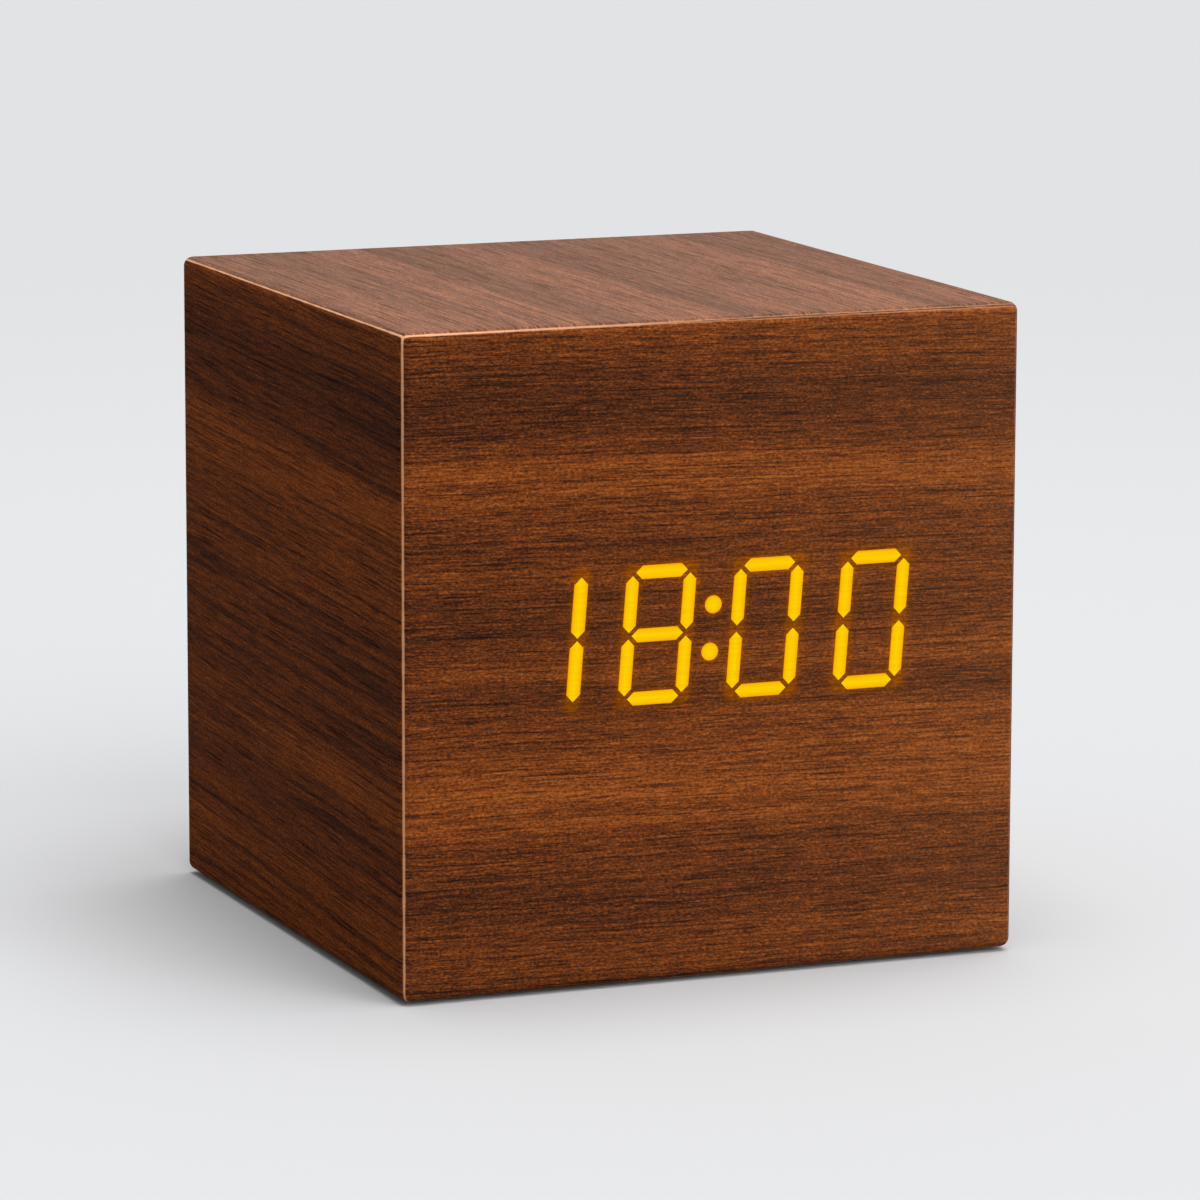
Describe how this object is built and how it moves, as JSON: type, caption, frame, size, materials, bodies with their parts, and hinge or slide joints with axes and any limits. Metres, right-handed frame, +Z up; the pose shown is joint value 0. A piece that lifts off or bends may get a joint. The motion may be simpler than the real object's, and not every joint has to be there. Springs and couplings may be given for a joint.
{
  "type": "led cube alarm clock",
  "caption": "Wood-veneered cube alarm clock with amber seven-segment digits shining through the front, control buttons and power socket in the back, and a hinged battery door underneath.",
  "frame": {"origin": "on the table under the middle of the cube", "axes": "+Z up, the display faces -Y, +X to the right as seen from the front"},
  "size_m": [0.068, 0.068, 0.0684],
  "materials": {
    "veneer": "dark walnut veneer, satin",
    "lit_veneer": "veneer lit amber from behind",
    "fibreboard": "raw fibreboard",
    "pine": "raw softwood",
    "white_plastic": "white reflector plastic",
    "light_guide": "clear tinted resin",
    "led": "amber LED package",
    "circuit_board": "green solder mask",
    "black_plastic": "fine-textured black ABS",
    "button_plastic": "satin black ABS",
    "chip": "moulded epoxy",
    "plunger_plastic": "red moulded plastic",
    "steel": "zinc-plated steel",
    "nickel": "nickel plate",
    "can": "plain metal can",
    "cell_jacket": "printed cell jacket",
    "cream_plastic": "cream nylon",
    "ribbon": "grey ribbon cable",
    "red_wire": "red insulation",
    "black_wire": "black insulation",
    "rubber": "black rubber"
  },
  "bodies": {
    "case": {"front_veneer": "veneer", "left_veneer": "veneer", "right_veneer": "veneer", "top_veneer": "veneer", "back_veneer": "veneer", "lit_hour_tens": "lit_veneer", "lit_hour_units": "lit_veneer", "lit_colon": "lit_veneer", "lit_minute_tens": "lit_veneer", "lit_minute_units": "lit_veneer", "front_board": "fibreboard", "back_board": "fibreboard", "left_board": "fibreboard", "right_board": "fibreboard", "top_board": "fibreboard", "screw_blocks": "pine", "display_reflector": "white_plastic", "segment_guides": "light_guide", "led_chips": "led", "main_board": "circuit_board", "board_spacers": "black_plastic", "board_screws": "steel", "clock_chip": "chip", "crystal": "can", "capacitors": "can", "buzzer": "chip", "control_bezel": "black_plastic", "bezel_screws": "steel", "switch_bodies": "chip", "control_board": "circuit_board", "control_screws": "steel", "usb_shell": "nickel", "usb_tongue": "chip", "microphone": "can", "ribbon_cable": "ribbon", "ribbon_headers": "cream_plastic", "base_tray": "black_plastic", "base_screws": "steel", "feet": "rubber", "battery_cells": "cell_jacket", "contact_plates": "nickel", "contact_springs": "nickel", "red_lead": "red_wire", "black_lead": "black_wire"},
    "set_key": {"set_button": "button_plastic", "set_plunger": "plunger_plastic"},
    "up_key": {"up_button": "button_plastic", "up_plunger": "plunger_plastic"},
    "down_key": {"down_button": "button_plastic", "down_plunger": "plunger_plastic"},
    "door": {"battery_door": "black_plastic"}
  },
  "joints": [
    {"name": "set_press", "type": "slide", "parent": "case", "child": "set_key", "axis": [0, -1, 0], "range_m": [0, 0.0005], "stiffness_N_per_m": 1500},
    {"name": "up_press", "type": "slide", "parent": "case", "child": "up_key", "axis": [0, -1, 0], "range_m": [0, 0.0005], "stiffness_N_per_m": 1500},
    {"name": "down_press", "type": "slide", "parent": "case", "child": "down_key", "axis": [0, -1, 0], "range_m": [0, 0.0005], "stiffness_N_per_m": 1500},
    {"name": "door_hinge", "type": "hinge", "parent": "case", "child": "door", "pos_m": [0, 0.0168, 0.0017], "axis": [1, 0, 0], "range_deg": [0, 85]}
  ]
}
